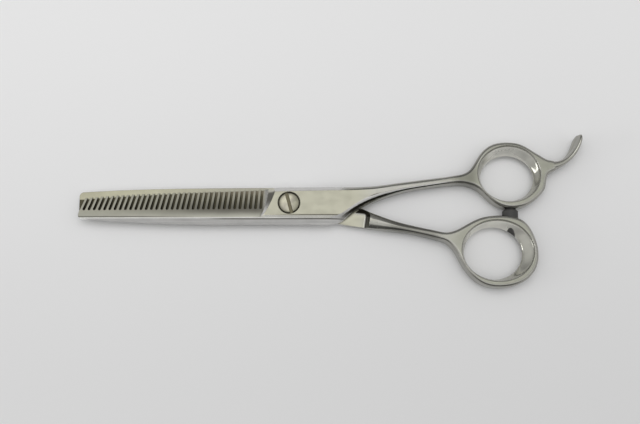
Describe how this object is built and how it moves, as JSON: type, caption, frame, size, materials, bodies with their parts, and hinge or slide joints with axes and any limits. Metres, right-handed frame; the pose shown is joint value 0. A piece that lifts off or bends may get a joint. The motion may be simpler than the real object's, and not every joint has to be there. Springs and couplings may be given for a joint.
{
  "type": "thinning shears",
  "caption": "Steel hair-thinning shears with a toothed comb blade over a straight blade, a slotted pivot screw, two finger rings, a curled finger rest and a rubber bumper.",
  "frame": {"origin": "on the pivot axis, at the lower face that the closed shears rest on", "axes": "+X along the shears from the blade tips towards the rings, +Y towards the finger ring's side, +Z along the pivot axis towards the screw head"},
  "size_m": [0.1794, 0.055, 0.0067],
  "materials": {
    "blade_steel": "satin flats and polished bevels",
    "handle_steel": "mirror polished",
    "screw_steel": "turned and brushed",
    "spring_steel": "plain",
    "bush_brass": "turned",
    "glide_plastic": "plain white, low friction",
    "bumper_rubber": "matte black"
  },
  "bodies": {
    "comb_half": {"comb_blade": "blade_steel", "finger_handle": "handle_steel", "pivot_bush": "bush_brass", "glide_washer": "glide_plastic", "spring_washer": "spring_steel"},
    "straight_half": {"straight_blade": "blade_steel", "thumb_handle": "handle_steel", "pivot_nut": "screw_steel", "bumper": "bumper_rubber"},
    "tension_screw": {"pivot_screw": "screw_steel"}
  },
  "joints": [
    {"name": "blade_pivot", "type": "hinge", "parent": "comb_half", "child": "straight_half", "pos_m": [0, 0, 0], "axis": [0, 0, -1], "range_deg": [0, 140]},
    {"name": "tension_adjust", "type": "hinge", "parent": "straight_half", "child": "tension_screw", "pos_m": [0, 0, 0], "axis": [0, 0, 1], "range_deg": [-90, 90]}
  ]
}
